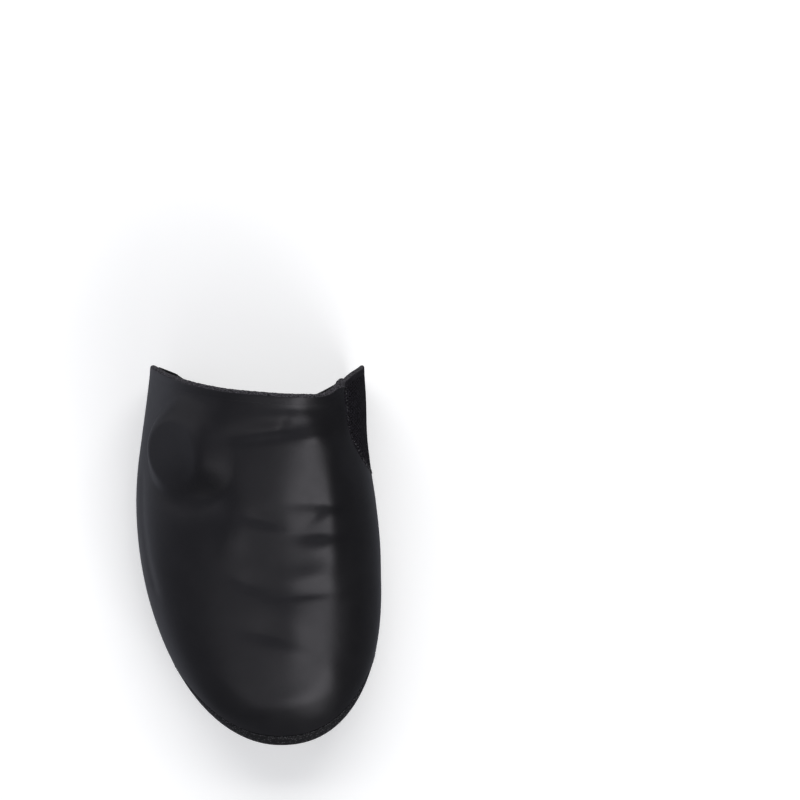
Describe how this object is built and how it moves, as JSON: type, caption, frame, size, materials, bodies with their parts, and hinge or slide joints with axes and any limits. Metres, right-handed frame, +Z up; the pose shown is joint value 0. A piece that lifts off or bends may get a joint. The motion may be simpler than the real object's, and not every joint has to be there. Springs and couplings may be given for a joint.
{
  "type": "cycling toe cover",
  "caption": "Stretch-fabric cover that slips over the front of a cycling shoe, with a knitted side panel, rolled hem and cleat opening.",
  "frame": {"origin": "centre of the outline on the floor, midway between the toe tip and the back of the opening", "axes": "+Z up, -Y towards the toe tip, +X towards the big-toe side of a right foot"},
  "size_m": [0.1034, 0.1596, 0.0845],
  "materials": {
    "coated_fabric": "smooth satin windproof coating over stretch fabric, black",
    "knit_mesh": "fine open knit with tiny holes in columns, matt black with a violet cast",
    "sole_fabric": "tough grained fabric with a dotted face, matt black",
    "hem_fabric": "rolled and bonded edge, grainy satin black",
    "gusset_hem_fabric": "narrow rolled edge of knit, matt black"
  },
  "bodies": {
    "root": {"upper": "coated_fabric", "side_gusset": "knit_mesh", "sole_panel": "sole_fabric", "upper_hem": "hem_fabric", "gusset_hem": "gusset_hem_fabric"}
  },
  "joints": []
}
